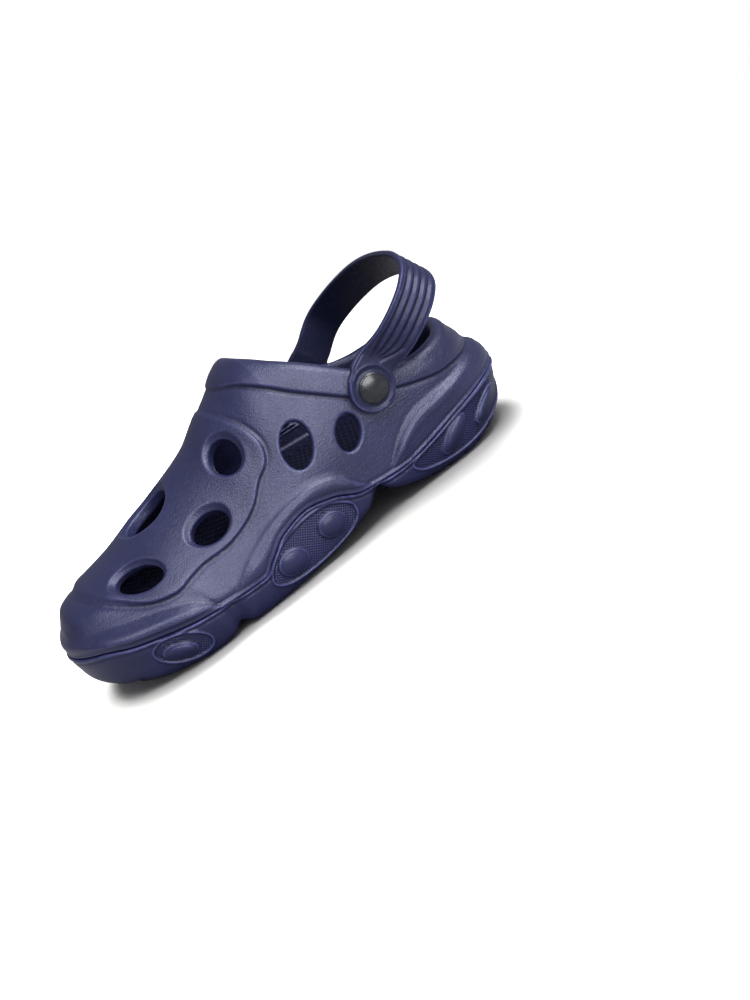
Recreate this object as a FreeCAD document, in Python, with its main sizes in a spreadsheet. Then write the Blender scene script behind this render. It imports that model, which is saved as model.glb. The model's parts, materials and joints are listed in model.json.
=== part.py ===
import FreeCAD, Part
import math
import os

import Sketcher
from FreeCAD import Placement, Rotation, Vector

# A moulded foam garden clog for the right foot.
# Frame: +Z up, the ground is z = 0, the toe points along -Y, the medial side of the foot is +X.
# The origin lies on the ground, midway between toe and heel.

X_AXIS = Vector(1, 0, 0)
Y_AXIS = Vector(0, 1, 0)
Z_AXIS = Vector(0, 0, 1)

# Driving dimensions in millimetres and degrees: (alias, value, meaning)
DIMENSIONS = [
    ("toe_centre_y", -80.0, "centre of the ellipse that rounds the toe in plan"),
    ("toe_length", 67.0, "semi-axis of that ellipse along Y"),
    ("forefoot_half_width", 59.0, "half the widest part of the clog"),
    ("heel_centre_y", 90.0, "centre of the ellipse that rounds the heel in plan"),
    ("heel_length", 54.0, "semi-axis of that ellipse along Y"),
    ("heel_half_width", 46.5, "half the width of the heel"),
    ("widest_height", 29.0, "height at which the clog is widest"),
    ("side_crown_height", 125.0, "height at which the collar sides would meet, were they not cut"),
    ("wall", 5.5, "thickness of the upper"),
    ("floor_clearance", 0.4, "gap round the footbed"),
    ("form_top", 117.0, "highest level of the upper"),
    ("vent_depth", 44.0, "length of a vent cutter"),
    ("pivot_y", 60.0, "rivet axis, from the origin"),
    ("pivot_z", 67.0, "rivet axis, above the ground"),
    ("boss_radius", 13.0, "flat round boss on the collar, under the strap end"),
    ("boss_face_x", 48.3, "outer face of that boss"),
    ("seat_face_x", 42.3, "inner face of the wall under the rivet cap"),
    ("seat_radius", 9.2, "spot face for the rivet cap"),
    ("bore_radius", 3.05, "rivet bore in the wall and in the strap"),
    ("strap_gap", 0.10, "running gap on each face of the strap end"),
    ("strap_thickness", 3.6, "thickness of the heel strap"),
    ("strap_width", 22.5, "width of the heel strap"),
    ("strap_end_radius", 13.5, "round end of the heel strap"),
    ("strap_reach", 74.6, "rivet axis to the middle of the strap's bend"),
    ("strap_lift", 34.0, "rest angle of the strap above the horizontal"),
    ("strap_end_fillet", 0.8, "rounding of the strap edges"),
    ("head_radius", 8.5, "rivet button head"),
    ("head_rim", 1.0, "straight rim of the rivet head"),
    ("head_height", 2.8, "rivet head, rim and dome"),
    ("shank_radius", 3.0, "rivet shank"),
    ("barb_radius", 3.7, "snap barb at the end of the shank"),
    ("barb_length", 1.6, "snap barb along the shank"),
    ("cap_radius", 8.0, "rivet cap inside the shoe"),
    ("cap_thickness", 2.2, "rivet cap at its middle"),
    ("cap_edge", 1.2, "rivet cap at its rim"),
    ("tread_flat", 0.6, "depth by which each rocker lobe is cut flat at the ground"),
    ("groove_depth", 2.5, "tread grooves across the outsole"),
    ("groove_length", 66.0, "tread grooves across the outsole"),
    ("groove_width", 3.0, "tread grooves across the outsole"),
    ("groove_pitch", 12.0, "spacing of the tread grooves"),
]

# Side-view curves, as (y, z) points of smooth curves.
CROWN = [(-147.0, 29.0), (-146.3, 37.0), (-142.0, 47.0), (-133.5, 54.4), (-120.0, 58.0), (-100.0, 62.2),
         (-75.0, 71.0), (-51.0, 78.8), (-34.0, 86.0), (-20.0, 96.4), (-8.0, 104.0), (4.0, 113.5), (14.0, 119.0)]
TOPLINE = [(4.0, 119.0), (12.0, 115.5), (23.5, 107.5), (34.0, 100.0), (46.0, 90.5), (57.0, 81.0),
           (67.0, 74.0), (80.0, 69.0), (95.0, 67.0), (110.0, 67.6), (126.0, 70.4), (150.0, 72.0)]
PARTING = [(-152.0, 32.8), (-135.0, 32.4), (-118.0, 28.2), (-84.0, 21.8), (-60.0, 18.9), (-45.3, 18.4),
           (-36.3, 24.2), (-24.0, 31.6), (-7.4, 34.8), (9.0, 31.0), (26.3, 22.8), (54.0, 19.4), (73.0, 21.8),
           (97.6, 27.1), (112.0, 29.6), (126.0, 31.8), (140.0, 33.4), (150.0, 33.8)]
INSOLE = [(-150.0, 35.0), (-110.0, 30.5), (-75.0, 28.0), (-40.0, 31.5), (-5.0, 38.5), (30.0, 37.0),
          (90.0, 33.5), (120.0, 35.0), (150.0, 39.0)]
# Centre line of the plan outline: (y, x)
CENTRE_LINE = [(-145.0, 5.6), (-125.0, 0.8), (-100.0, -3.3), (-60.0, -2.8), (0.0, -1.4), (60.0, -0.1),
               (145.0, 0.0)]
# Fullness of the cross-section along the shoe: (y, rise exponent), (y, width exponent)
RISE_EXPONENT = [(-145.0, 2.0), (-115.0, 1.7), (-96.0, 1.5), (-50.0, 1.4), (-23.0, 1.5), (9.0, 2.1), (55.0, 2.5),
                 (145.0, 2.6)]
WIDTH_EXPONENT = [(-145.0, 1.9), (-115.0, 1.6), (-96.0, 1.5), (-50.0, 1.5), (-23.0, 1.6), (9.0, 1.8),
                  (35.0, 2.0), (145.0, 2.0)]
# The heel leans in above the bumper: (z, change of the heel's reach)
HEEL_LEAN = [(0.0, -2.0), (22.0, -0.5), (34.0, 0.0), (44.0, -2.5), (52.0, -9.0), (62.0, -12.5), (74.0, -16.5),
             (117.0, -24.0)]
# The three rocker lobes under the sole: (low point y, curvature of the parabola)
LOBES = [(-84.0, 0.0042), (-45.0, 0.0022), (90.0, 0.0052)]
# Notches between them: (y, extra height, half-width)
NOTCHES = [(-67.0, 4.5, 5.0), (35.0, 4.0, 6.0)]
# Stretches of the sole with tread grooves: (first y, last y)
GROOVED = [(-112.0, -76.0), (-58.0, -22.0), (62.0, 118.0)]
# Plan sections of the outsole: (height, inset), tucked under towards the ground
SOLE_SECTIONS = [(-2.0, 6.0), (3.0, 3.6), (9.0, 1.8), (16.0, 0.7), (29.0, 0.0), (38.0, 0.0)]

# Vents: (name, place, direction out of the wall, long axis, half-length, half-width)
CENTRE_VENT = ("centre", (1.6, -69.6, 64.0), (-0.04, -0.28, 0.96), (0.0, 1.0, 0.3), 15.5, 13.0)
SIDE_PAIRS = [
    ("upper", (25.8, -22.4, 75.6), (0.55, -0.35, 0.76), (0.82, 0.07, -0.56), 11.4, 9.0),
    ("mid", (37.4, -51.8, 53.0), (0.62, -0.22, 0.75), (0.14, 0.98, 0.17), 11.2, 8.7),
    ("toe", (30.5, -95.6, 49.2), (0.48, -0.35, 0.80), (0.67, 0.74, -0.08), 14.0, 8.2),
    ("side_front", (48.0, 9.0, 64.9), (0.95, -0.05, 0.30), (-0.25, 0.41, 0.87), 13.2, 8.8),
    ("side_rear", (48.0, 36.6, 53.9), (0.98, 0.0, 0.20), (-0.17, 0.53, 0.83), 10.4, 7.5),
]
# On the lateral side these vents sit further back and higher: (back, up)
LATERAL_SHIFT = {"side_front": (5.0, 0.0), "side_rear": (6.0, 7.0)}

# Middle line of the heel strap's bend in its own plane, as fractions of the reach: (across, outward).
# Both ends run on straight to the rivets.
STRAP_PATH = [(0.673, 0.180), (0.692, 0.240), (0.735, 0.320), (0.782, 0.430), (0.812, 0.570), (0.798, 0.725),
              (0.700, 0.870), (0.480, 0.970), (0.200, 1.0), (-0.080, 0.985), (-0.330, 0.920), (-0.560, 0.790),
              (-0.740, 0.630), (-0.812, 0.500), (-0.795, 0.370), (-0.725, 0.260), (-0.673, 0.180)]

SIDES = (("medial", 1), ("lateral", -1))

doc = FreeCAD.newDocument("garden_clog")
sheet = doc.addObject("Spreadsheet::Sheet", "dims")


def fill_sheet():
    for row, (alias, value, meaning) in enumerate(DIMENSIONS, start=1):
        sheet.set("A%d" % row, alias)
        sheet.set("B%d" % row, "%g" % value)
        sheet.set("C%d" % row, meaning)
        sheet.setAlias("B%d" % row, alias)
    doc.recompute()


def dim(alias):
    return float(sheet.get(alias))


def bind(obj, **expressions):
    for name, expression in expressions.items():
        obj.setExpression(name.replace("__", "."), expression)


# ---------------------------------------------------------------- curves and plan outlines

def smooth_curve(points):
    """A function through the points with monotone cubic pieces, so it never overshoots."""
    xs = [p[0] for p in points]
    ys = [p[1] for p in points]
    slopes = [(ys[i + 1] - ys[i]) / (xs[i + 1] - xs[i]) for i in range(len(xs) - 1)]
    tangents = [slopes[0]]
    for before, after in zip(slopes, slopes[1:]):
        same_sign = before * after > 0
        tangents.append(2 * before * after / (before + after) if same_sign else 0.0)
    tangents.append(slopes[-1])

    def value(x):
        x = min(max(x, xs[0]), xs[-1])
        i = max(j for j in range(len(xs) - 1) if xs[j] <= x)
        gap = xs[i + 1] - xs[i]
        t = (x - xs[i]) / gap
        rise = (2 * t ** 3 - 3 * t ** 2 + 1) * ys[i] + (3 * t ** 2 - 2 * t ** 3) * ys[i + 1]
        bend = (t ** 3 - 2 * t ** 2 + t) * tangents[i] + (t ** 3 - t ** 2) * tangents[i + 1]
        return rise + gap * bend
    return value


centre_x = smooth_curve(CENTRE_LINE)
front_crown = smooth_curve(CROWN)
rise_exponent = smooth_curve(RISE_EXPONENT)
width_exponent = smooth_curve(WIDTH_EXPONENT)
heel_lean = smooth_curve(HEEL_LEAN)


def ease(t):
    t = min(max(t, 0.0), 1.0)
    return t * t * (3 - 2 * t)


def crown_height(y):
    """Height of the closed form's ridge; behind the collar it is the virtual crown of the sides."""
    return front_crown(y) + (dim("side_crown_height") - CROWN[-1][1]) * ease((y - CROWN[-1][0]) / 30.0)


def plan_half_width(y, heel_length):
    """Half the plan width: toe ellipse, eased waist, heel ellipse."""
    toe_y, heel_y = dim("toe_centre_y"), dim("heel_centre_y")
    broad, narrow = dim("forefoot_half_width"), dim("heel_half_width")
    if y < toe_y:
        return broad * math.sqrt(max(0.0, 1 - ((toe_y - y) / dim("toe_length")) ** 2))
    if y > heel_y:
        return narrow * math.sqrt(max(0.0, 1 - ((y - heel_y) / heel_length) ** 2))
    return broad + (narrow - broad) * ease((y - toe_y) / (heel_y - toe_y))


def half_width(y, z):
    """Half the width of the closed outer form at station y and height z."""
    width = plan_half_width(y, dim("heel_length") + heel_lean(z))
    low = dim("widest_height")
    if z <= low:
        return width
    ratio = min((z - low) / (crown_height(y) - low), 1.0)
    return width * (1 - ratio ** rise_exponent(y)) ** (1 / width_exponent(y))


def toe_reach(z):
    """Where the ridge line meets height z in front of the collar."""
    if z <= dim("widest_height"):
        return dim("toe_centre_y") - dim("toe_length")
    low, high = CROWN[0][0], CROWN[-1][0]
    for _ in range(40):
        middle = (low + high) / 2
        if crown_height(middle) < z:
            low = middle
        else:
            high = middle
    return low


def plan_section(z, inset, stations=13):
    """Closed smooth wire of the form at height z, moved inward by inset."""
    front = toe_reach(z)
    back = dim("heel_centre_y") + dim("heel_length") + heel_lean(z)
    middle, half = (front + back) / 2, (back - front) / 2
    inner_half = half - inset
    right, left = [], []
    for i in range(1, stations):
        share = -math.cos(math.pi * i / stations)
        y = middle + half * share
        width = half_width(y, z) * (1 - inset / half_width(middle, z))
        right.append(Vector(centre_x(y) + width, middle + inner_half * share, z))
        left.append(Vector(centre_x(y) - width, middle + inner_half * share, z))
    toe = Vector(centre_x(front), middle - inner_half, z)
    heel = Vector(centre_x(back), middle + inner_half, z)
    curve = Part.BSplineCurve()
    curve.interpolate([toe] + right + [heel] + left[::-1], PeriodicFlag=True)
    return Part.Wire(curve.toShape())


def lofted_form(name, levels):
    """Loft through plan sections given as (height, inset)."""
    obj = doc.addObject("Part::Feature", name)
    obj.Shape = Part.makeLoft([plan_section(z, inset) for z, inset in levels], True, False)
    return obj


def side_curve(points):
    curve = Part.BSplineCurve()
    curve.interpolate([Vector(0, y, z) for y, z in points])
    return curve


def side_prism(name, curve, closing, half_depth=90.0):
    """Extrusion across the shoe of the side-view area between a curve and a closing polyline."""
    start, end = curve.value(curve.FirstParameter), curve.value(curve.LastParameter)
    corners = [end] + [Vector(0, y, z) for y, z in closing] + [start]
    edges = [curve.toShape()] + [Part.makeLine(a, b) for a, b in zip(corners, corners[1:])]
    outline = doc.addObject("Part::Feature", name + "_outline")
    outline.Shape = Part.Wire(edges)
    prism = doc.addObject("Part::Extrusion", name)
    prism.Base = outline
    prism.DirMode = "Custom"
    prism.Dir = X_AXIS
    prism.LengthFwd = half_depth
    prism.LengthRev = half_depth
    prism.Solid = True
    return prism


def boolean(kind, name, base, tool):
    obj = doc.addObject("Part::" + kind, name)
    obj.Base = base
    obj.Tool = tool
    return obj


def fuse_all(name, shapes):
    obj = doc.addObject("Part::MultiFuse", name)
    obj.Shapes = shapes
    return obj


def cross_cylinder(name, side, radius, near, far):
    """Cylinder on the rivet axis between two x faces, given as expressions for the medial side."""
    obj = doc.addObject("Part::Cylinder", name)
    turn = 90 if side > 0 else -90
    obj.Placement = Placement(Vector(0, 0, 0), Rotation(Y_AXIS, turn))
    sign = "" if side > 0 else "-1 * "
    bind(obj, Radius=radius, Height="(%s) - (%s)" % (far, near), Placement__Base__x="%s(%s)" % (sign, near),
         Placement__Base__y="dims.pivot_y", Placement__Base__z="dims.pivot_z")
    return obj


def vent_cutter(name, place, direction, long_axis, half_length, half_wide):
    """Elliptical cutter whose axis leaves the wall along the given direction."""
    ellipse = doc.addObject("Part::Ellipse", name + "_rim")
    ellipse.MajorRadius = half_length
    ellipse.MinorRadius = half_wide
    axis = Vector(*direction).normalize()
    rotation = Rotation(Vector(*long_axis), Vector(0, 0, 0), axis, "ZXY")
    start = Vector(*place) - axis * (dim("vent_depth") / 2)
    ellipse.Placement = Placement(start, rotation)
    cutter = doc.addObject("Part::Extrusion", name)
    cutter.Base = ellipse
    cutter.DirMode = "Custom"
    cutter.Dir = axis
    cutter.Solid = True
    bind(cutter, LengthFwd="dims.vent_depth")
    return cutter


# ---------------------------------------------------------------- the foam body

def build_upper(parting):
    heights = [8, 29, 36, 44, 52, 60, 70, 80, 90, 100, 109, dim("form_top")]
    outer = lofted_form("upper_outer", [(z, 0.0) for z in heights])
    cavity = lofted_form("upper_cavity", [(z, dim("wall")) for z in heights])
    bosses = [cross_cylinder("boss_" + name, side, "dims.boss_radius", "dims.seat_face_x", "dims.boss_face_x")
              for name, side in SIDES]
    shell = boolean("Cut", "upper_shell", outer, cavity)
    with_bosses = fuse_all("upper_with_bosses", [shell] + bosses)
    topline = side_prism("topline_cut", side_curve(TOPLINE), [(150, 140), (4, 140)])
    below = side_prism("parting_cut", parting, [(150, -10), (-150, -10)])
    cutters = [topline, below]
    for name, side in SIDES:
        cutters.append(cross_cylinder("seat_" + name, side, "dims.seat_radius", "dims.seat_face_x - 8",
                                      "dims.seat_face_x"))
        cutters.append(cross_cylinder("bore_" + name, side, "dims.bore_radius", "dims.seat_face_x - 8",
                                      "dims.boss_face_x + 2"))
        for vent, (x, y, z), direction, long_axis, length, width in SIDE_PAIRS:
            back, up = LATERAL_SHIFT.get(vent, (0.0, 0.0)) if side < 0 else (0.0, 0.0)
            facing = [(side * a, b, c) for a, b, c in ((x, y + back, z + up), direction, long_axis)]
            cutters.append(vent_cutter("vent_%s_%s" % (vent, name), *facing, length, width))
    cutters.append(vent_cutter("vent_" + CENTRE_VENT[0], *CENTRE_VENT[1:]))
    cuts = fuse_all("upper_cuts", cutters)
    return boolean("Cut", "upper", with_bosses, cuts), cavity


def lobe_floor(y):
    """Side-view height of the tread: the lowest of three rocker lobes, plus the notches between them."""
    height = min(curvature * (y - low) ** 2 for low, curvature in LOBES) - dim("tread_flat")
    for place, rise, reach in NOTCHES:
        height += rise * math.exp(-((y - place) / reach) ** 2)
    return height


def tread_grooves():
    """Straight grooves across each lobe, stopping short of the side walls."""
    grooves = []
    for start, stop in GROOVED:
        for number in range(int((stop - start) / dim("groove_pitch")) + 1):
            y = start + number * dim("groove_pitch")
            groove = doc.addObject("Part::Box", "tread_groove")
            floor_z = max(lobe_floor(y), lobe_floor(y + dim("groove_width")), 0.0)
            groove.Placement = Placement(Vector(0, y, floor_z - 10), Rotation())
            bind(groove, Length="dims.groove_length", Width="dims.groove_width", Height="10 + dims.groove_depth",
                 Placement__Base__x="-dims.groove_length / 2")
            grooves.append(groove)
    return grooves


def build_outsole(parting):
    blank = lofted_form("outsole_blank", SOLE_SECTIONS)
    above = side_prism("outsole_top_cut", parting, [(150, 80), (-150, 80)])
    stations = [-150 + 300 * i / 60 for i in range(61)]
    floor_points = [(y, lobe_floor(y)) for y in stations]
    below = side_prism("outsole_floor_cut", side_curve(floor_points), [(150, -20), (-150, -20)])
    ground = doc.addObject("Part::Box", "ground_cut")
    ground.Length, ground.Width, ground.Height = 200, 320, 20
    ground.Placement = Placement(Vector(-100, -160, -20), Rotation())
    cuts = fuse_all("outsole_cuts", [above, below, ground] + tread_grooves())
    return boolean("Cut", "outsole", blank, cuts)


def build_footbed(parting):
    gap = dim("floor_clearance")
    blank = lofted_form("footbed_blank", [(z, dim("wall") + gap) for z in (8, 29, 36, 44, 52)])
    above = side_prism("footbed_top_cut", side_curve(INSOLE), [(150, 80), (-150, 80)])
    lower = side_prism("footbed_floor_cut", parting, [(150, -20), (-150, -20)])
    return boolean("Cut", "footbed", blank, fuse_all("footbed_cuts", [above, lower]))


# ---------------------------------------------------------------- strap and rivets

def body_plane(body, role):
    return next(f for f in body.Origin.OriginFeatures if f.Role == role)


def new_body(name):
    return doc.addObject("PartDesign::Body", name)


def new_sketch(body, name, role, offset=None):
    sketch = body.newObject("Sketcher::SketchObject", name)
    sketch.AttachmentSupport = [(body_plane(body, role), "")]
    sketch.MapMode = "FlatFace"
    if offset is not None:
        sketch.AttachmentOffset = Placement(Vector(0, 0, offset), Rotation())
    return sketch


def circle(sketch, radius):
    index = sketch.addGeometry(Part.Circle(Vector(0, 0, 0), Z_AXIS, dim(radius)))
    sketch.addConstraint(Sketcher.Constraint("Coincident", index, 3, -1, 1))
    size = sketch.addConstraint(Sketcher.Constraint("Radius", index, dim(radius)))
    sketch.setExpression("Constraints[%d]" % size, "dims." + radius)
    return index


def strap_bend(shift):
    """One face of the bend: its middle line moved along the normal, leaving both ends square to the rivets."""
    reach = dim("strap_reach")
    outward = Vector(0, 1, 0)
    middle = [Vector(across * reach, out * reach, 0) for across, out in STRAP_PATH]
    line = Part.BSplineCurve()
    line.interpolate(Points=middle, InitialTangent=outward, FinalTangent=-outward)
    points = []
    for point in middle:
        tangent = line.tangent(line.parameter(point))[0]
        points.append(point + Vector(-tangent.y, tangent.x, 0) * shift)
    face = Part.BSplineCurve()
    face.interpolate(Points=points, InitialTangent=outward, FinalTangent=-outward)
    return face


def build_strap():
    """Band bent in its own XY plane (Y is outward from the rivets), with a round drilled end each side."""
    body = new_body("strap_body")
    half = dim("strap_thickness") / 2
    band = new_sketch(body, "strap_outline", "XY_Plane")
    corners = []
    for shift in (half, -half):
        face = strap_bend(shift)
        band.addGeometry(face)
        feet = []
        for end in (face.StartPoint, face.EndPoint):
            foot = Vector(end.x, 0, 0)
            band.addGeometry(Part.LineSegment(end, foot))
            feet.append(foot)
        corners.append(feet)
    for one, other in zip(*corners):
        band.addGeometry(Part.LineSegment(one, other))
    pad = body.newObject("PartDesign::Pad", "strap_band")
    pad.Profile = band
    pad.Midplane = True
    bind(pad, Length="dims.strap_width")
    doc.recompute()
    middle_x = STRAP_PATH[0][0] * dim("strap_reach")
    for name, side in SIDES:
        disc = new_sketch(body, "end_outline_" + name, "YZ_Plane", side * middle_x)
        circle(disc, "strap_end_radius")
        end = body.newObject("PartDesign::Pad", "end_disc_" + name)
        end.Profile = disc
        end.Midplane = True
        bind(end, Length="dims.strap_thickness")
    hole = new_sketch(body, "bore_outline", "YZ_Plane")
    circle(hole, "bore_radius")
    bore = body.newObject("PartDesign::Pocket", "strap_bore")
    bore.Profile = hole
    bore.Type = "ThroughAll"
    bore.Midplane = True
    body.Placement = Placement(Vector(0, 0, 0), Rotation(X_AXIS, dim("strap_lift")))
    bind(body, Placement__Base__y="dims.pivot_y", Placement__Base__z="dims.pivot_z")
    body.Label = "heel_strap"
    return body


def revolve_profile(body, name, points, bulge=None):
    """Revolve a closed profile about the rivet axis; bulge names the side that is an arc and its mid point."""
    sketch = new_sketch(body, name + "_profile", "XZ_Plane")
    ends = points + points[:1]
    for i, (a, b) in enumerate(zip(ends, ends[1:])):
        start, stop = Vector(a[0], a[1], 0), Vector(b[0], b[1], 0)
        if bulge and bulge[0] == i:
            sketch.addGeometry(Part.Arc(start, Vector(bulge[1][0], bulge[1][1], 0), stop))
        else:
            sketch.addGeometry(Part.LineSegment(start, stop))
    turned = body.newObject("PartDesign::Revolution", name)
    turned.Profile = sketch
    turned.ReferenceAxis = (sketch, ["V_Axis"])
    turned.Angle = 360
    return turned


def seat_on_axis(body, side):
    body.Placement = Placement(Vector(0, 0, 0), Rotation(Y_AXIS, 90 * side))
    bind(body, Placement__Base__y="dims.pivot_y", Placement__Base__z="dims.pivot_z")


def build_button(name, side):
    """Domed head with a shank and a snap barb; the profile is (radius, distance from the shoe's mid plane)."""
    under = dim("boss_face_x") + dim("strap_thickness") + 2 * dim("strap_gap")
    rim, top = under + dim("head_rim"), under + dim("head_height")
    cap_out = dim("seat_face_x") - dim("strap_gap") - dim("cap_thickness") - dim("strap_gap")
    tip = cap_out - dim("barb_length")
    head, shank, barb = dim("head_radius"), dim("shank_radius"), dim("barb_radius")
    dome_mid = (head * 0.62, rim + (top - rim) * 0.72)
    points = [(0, top), (head, rim), (head, under), (shank, under), (shank, cap_out), (barb, cap_out),
              (barb * 0.7, tip), (0, tip)]
    body = new_body("button_" + name)
    revolve_profile(body, "button_turned_" + name, points, (0, dome_mid))
    seat_on_axis(body, side)
    body.Label = "rivet_button_" + name
    return body


def build_cap(name, side):
    """Shallow dished cap that clips over the shank inside the shoe."""
    outer = dim("seat_face_x") - dim("strap_gap")
    radius, bore = dim("cap_radius"), dim("bore_radius")
    inner = outer - dim("cap_thickness")
    points = [(bore, outer), (radius, outer), (radius, outer - dim("cap_edge")), (radius * 0.7, inner),
              (bore, inner)]
    body = new_body("cap_" + name)
    revolve_profile(body, "cap_turned_" + name, points)
    seat_on_axis(body, side)
    body.Label = "rivet_cap_" + name
    return body


# ---------------------------------------------------------------- build, check and write

def write_parts(parts):
    for obj in doc.Objects:
        if "Invalid" in obj.State or "Error" in obj.State:
            raise RuntimeError("%s failed: %s" % (obj.Label, obj.State))
    os.makedirs("parts", exist_ok=True)
    for obj in parts:
        shape = obj.Shape
        if shape.isNull() or not shape.isValid() or shape.Volume <= 0 or len(shape.Solids) != 1:
            raise RuntimeError("%s is not one sound solid (%d solids)" % (obj.Label, len(shape.Solids)))
        shape.exportStep("parts/%s.step" % obj.Label)
        box = shape.BoundBox
        print("%-22s %9.0f mm3  x %.1f..%.1f  y %.1f..%.1f  z %.1f..%.1f" % (
            obj.Label, shape.Volume, box.XMin, box.XMax, box.YMin, box.YMax, box.ZMin, box.ZMax))


fill_sheet()
parting_curve = side_curve(PARTING)
upper_part, _ = build_upper(parting_curve)
sub_parts = [upper_part, build_outsole(parting_curve), build_footbed(parting_curve), build_strap()]
for side_name, side_sign in SIDES:
    sub_parts.append(build_button(side_name, side_sign))
    sub_parts.append(build_cap(side_name, side_sign))
doc.recompute()
write_parts(sub_parts)
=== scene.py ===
import json
import math

import bmesh
import bpy
import numpy as np
from mathutils import Matrix, Vector


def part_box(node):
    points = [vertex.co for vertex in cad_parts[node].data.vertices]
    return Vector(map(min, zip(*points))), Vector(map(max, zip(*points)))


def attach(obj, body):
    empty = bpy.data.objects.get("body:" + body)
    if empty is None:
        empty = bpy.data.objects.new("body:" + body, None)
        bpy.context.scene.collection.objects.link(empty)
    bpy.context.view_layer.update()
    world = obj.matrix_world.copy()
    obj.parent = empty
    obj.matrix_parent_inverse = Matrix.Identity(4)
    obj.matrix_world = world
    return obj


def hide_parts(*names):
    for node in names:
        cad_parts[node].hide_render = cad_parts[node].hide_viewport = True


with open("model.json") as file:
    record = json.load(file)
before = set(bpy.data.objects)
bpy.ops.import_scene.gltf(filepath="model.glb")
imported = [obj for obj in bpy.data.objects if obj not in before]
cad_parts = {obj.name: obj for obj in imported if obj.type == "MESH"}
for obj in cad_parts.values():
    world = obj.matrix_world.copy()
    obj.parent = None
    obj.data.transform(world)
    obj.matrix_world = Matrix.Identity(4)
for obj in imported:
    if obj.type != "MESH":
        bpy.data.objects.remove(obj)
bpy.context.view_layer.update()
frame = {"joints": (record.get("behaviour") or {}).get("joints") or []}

# Shapes are worked out in millimetres in the frame's axes and written to Blender in metres:
# x to the medial side, y from the toe to the heel, z up from the ground.
MM = 0.001

# ---- sizes read from the frame

JOINT = {joint["name"]: joint for joint in frame["joints"]}
PIVOT = np.array(JOINT["strap_swing"]["pos_m"]) / MM
OUTSOLE_LOW, OUTSOLE_HIGH = (np.array(c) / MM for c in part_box("outsole"))
UPPER_LOW, UPPER_HIGH = (np.array(c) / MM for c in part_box("upper"))
FOOTBED_LOW, FOOTBED_HIGH = (np.array(c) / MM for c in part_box("footbed"))
STRAP_LOW, STRAP_HIGH = (np.array(c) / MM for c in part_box("heel_strap"))
BUTTON_LOW, BUTTON_HIGH = (np.array(c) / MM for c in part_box("rivet_button_medial"))
CAP_LOW, CAP_HIGH = (np.array(c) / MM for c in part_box("rivet_cap_medial"))

COARSE = 1.0
UPPER_STEP = 0.7 * COARSE
SOLE_STEP = 0.55 * COARSE
BED_STEP = 0.8 * COARSE
STRAP_STEP = 0.5 * COARSE

# ---- form of the foam body

# outline from above: a half oval at the toe, a straight stretch, a half oval at the heel
TOE_CENTRE_Y = -80.0
TOE_LENGTH = 67.0
FOREFOOT_HALF_WIDTH = 59.0
HEEL_CENTRE_Y = 90.0
HEEL_LENGTH = 54.0
HEEL_HALF_WIDTH = 46.5
CREST_ROUND = 0.02      # rounds the middle of the vamp, as a share of the half-width squared
SIDE_CROWN = 125.0      # height that the side walls aim at behind the collar's front

WALL = 5.5
BED_GAP = 0.4           # between footbed and upper wall
TREAD_FLAT = 0.6        # how far the lobes are cut flat on the ground
BOSS_FACE = 48.3        # outside face of the boss under the strap's end
SEAT_FACE = CAP_HIGH[0] + 0.1
BORE_RADIUS = 3.05
BOSS_RADIUS = 12.8
CAP_RECESS_RADIUS = 9.2
PARTING_GAP = 0.35      # from the parting line to each piece

# Curves over y: heights of the crown, the collar's edge, the parting line and the insole, the middle of the
# foot, where the body is widest and how square its sections are
CROWN = [
    (-151, 29), (-147, 37), (-142, 47), (-133.5, 54.4), (-120, 58), (-100, 62.2), (-75, 71), (-51, 78.8),
    (-34, 86), (-20, 96.4), (-8, 104), (4, 113.5), (14, 119)]
TOPLINE = [
    (4, 119), (12, 115.5), (23.5, 107.5), (34, 100), (46, 90.5), (57, 81), (67, 74), (80, 69), (95, 67),
    (110, 67.6), (126, 70.4), (150, 72)]
PARTING = [
    (-152, 32.8), (-135, 32.4), (-118, 28.2), (-84, 21.8), (-60, 18.9), (-45.3, 18.4), (-36.3, 24.2),
    (-24, 31.6), (-7.4, 34.8), (9, 31), (26.3, 22.8), (54, 19.4), (73, 21.8), (97.6, 27.1), (112, 29.6),
    (126, 31.8), (140, 33.4), (150, 33.8)]
INSOLE = [
    (-150, 35), (-110, 30.5), (-75, 28), (-40, 31.5), (-5, 38.5), (30, 37), (90, 33.5), (120, 35),
    (150, 39)]
CENTRE_LINE = [(-145, 5.6), (-125, 0.8), (-100, -3.3), (-60, -2.8), (0, -1.4), (60, -0.1), (145, 0)]
WIDEST_HEIGHT = [(-150, 29), (-92, 29), (-64, 22), (-44, 23.5), (-18, 29), (150, 29)]
RISE_EXPONENT = [
    (-145, 2), (-115, 1.7), (-96, 1.5), (-50, 1.4), (-23, 1.5), (9, 2.1), (55, 2.5), (145, 2.6)]
WIDTH_EXPONENT = [(-145, 1.9), (-115, 1.6), (-96, 1.5), (-50, 1.5), (-23, 1.6), (9, 1.8), (35, 2), (145, 2)]
# Over z: how far the heel's rear leans out, and how far the sole's wall tucks in
HEEL_LEAN = [(0, -2), (22, -0.5), (34, 0), (44, -2.5), (52, -9), (62, -12.5), (74, -16.5), (117, -24)]
SOLE_TUCK = [(-2, 6), (3, 3.6), (9, 1.8), (16, 0.7), (29, 0), (40, 0)]
# Underside: (lowest place, curvature) of each lobe, (place, rise, reach) of each notch between lobes
LOBES = [(-84, 0.0042), (-45, 0.0022), (90, 0.0052)]
NOTCHES = [(-67, 4.5, 5), (35, 4, 6)]

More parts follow.
